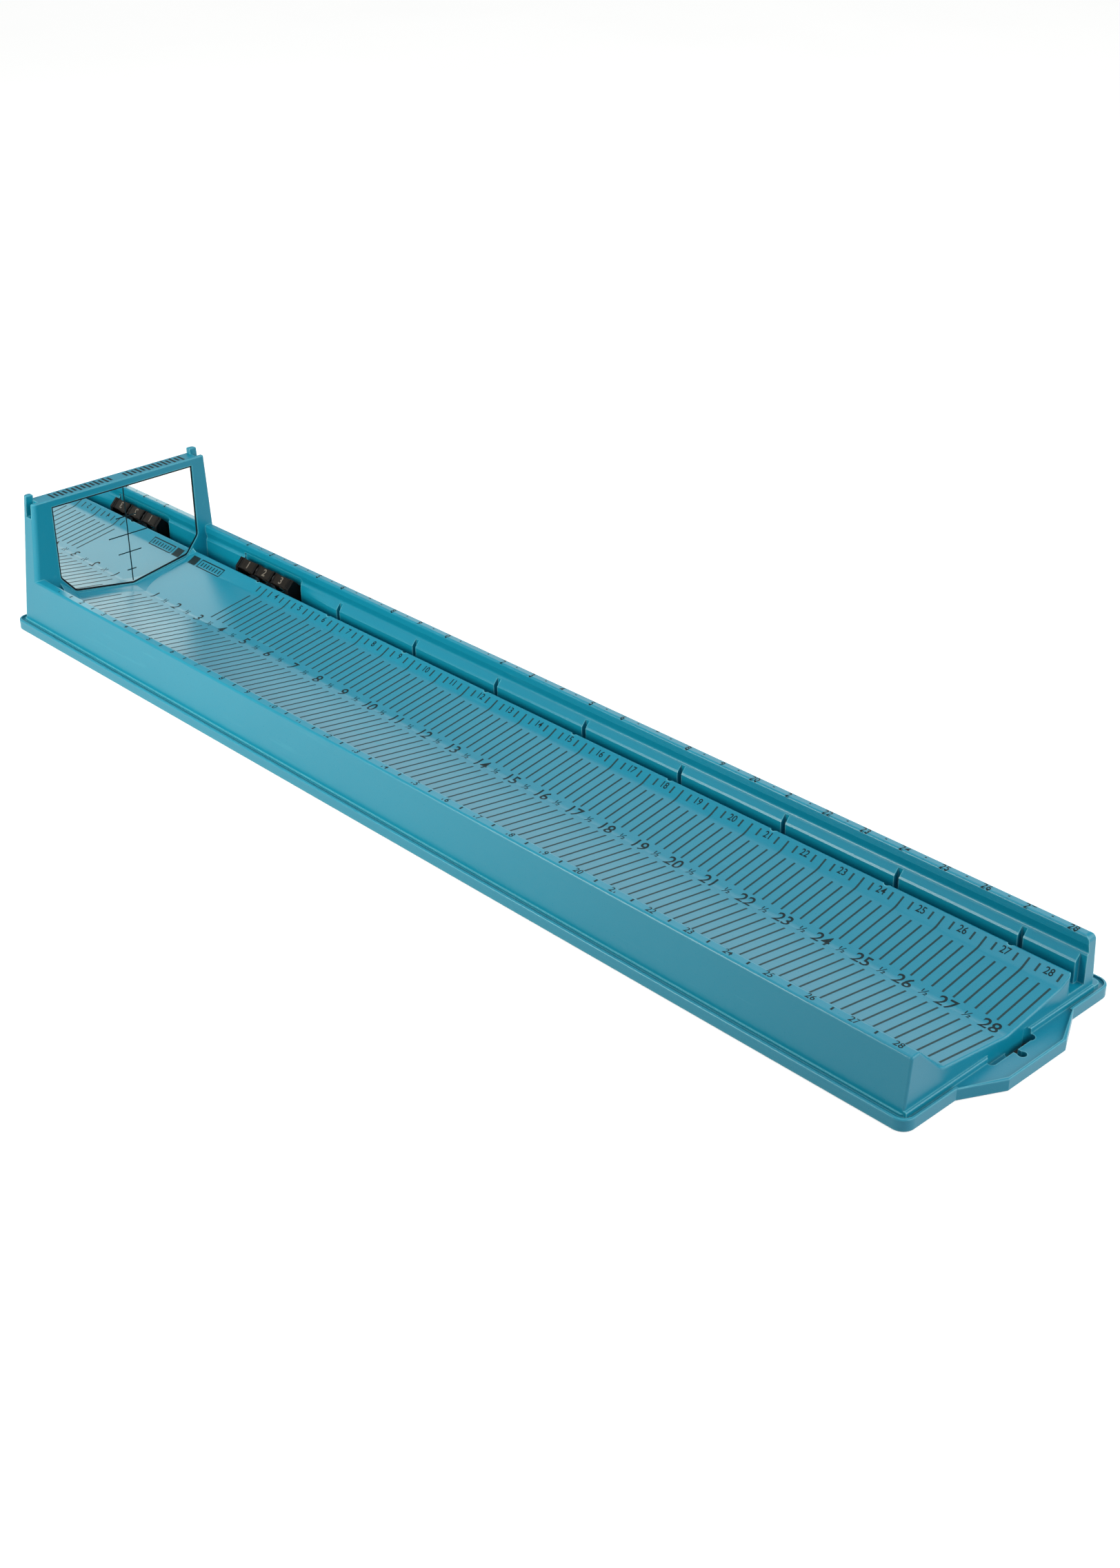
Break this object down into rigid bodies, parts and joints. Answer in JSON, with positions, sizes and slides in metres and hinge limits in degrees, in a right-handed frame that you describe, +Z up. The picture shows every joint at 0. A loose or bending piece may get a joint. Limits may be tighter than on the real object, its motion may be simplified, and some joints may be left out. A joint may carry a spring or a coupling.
{
  "type": "fish measuring board",
  "caption": "Long moulded measuring board with a V-shaped tray, a fence, an upright mirror wall at its zero end, rotating identification wheels and a tab with a leash hole.",
  "frame": {"origin": "under the scale's zero, 1.2 mm behind the mirror's face, on the tray's valley line, at the bottom face", "axes": "+X along the scale from zero to its open end, +Y towards the fence, +Z up"},
  "size_m": [0.7575, 0.1585, 0.0922],
  "materials": {
    "teal_plastic": "gloss",
    "black_plastic": "satin",
    "mirror": "mirror",
    "seal": "matte",
    "pad": "matte",
    "foam": "matte",
    "steel": "satin"
  },
  "bodies": {
    "board": {"tray_shell": "teal_plastic", "base_plate": "teal_plastic", "base_seal": "seal", "base_screws": "steel", "float_block_1": "foam", "float_block_2": "foam", "float_block_3": "foam", "float_block_4": "foam", "float_block_5": "foam", "mirror_panel": "mirror", "mirror_border": "black_plastic", "mirror_pad": "pad", "id_cradle": "black_plastic", "wheel_axle": "steel", "detent_spring_1": "steel", "detent_spring_2": "steel", "detent_spring_3": "steel", "wheel_spacer_1": "seal", "wheel_spacer_2": "seal"},
    "wheel_1": {"id_wheel_1": "black_plastic"},
    "wheel_2": {"id_wheel_2": "black_plastic"},
    "wheel_3": {"id_wheel_3": "black_plastic"}
  },
  "joints": [
    {"name": "wheel_1_turn", "type": "hinge", "parent": "board", "child": "wheel_1", "pos_m": [0.0596, 0.0564, 0.0258], "axis": [1, 0, 0], "continuous": true},
    {"name": "wheel_2_turn", "type": "hinge", "parent": "board", "child": "wheel_2", "pos_m": [0.0778, 0.0564, 0.0258], "axis": [1, 0, 0], "continuous": true},
    {"name": "wheel_3_turn", "type": "hinge", "parent": "board", "child": "wheel_3", "pos_m": [0.096, 0.0564, 0.0258], "axis": [1, 0, 0], "continuous": true}
  ]
}
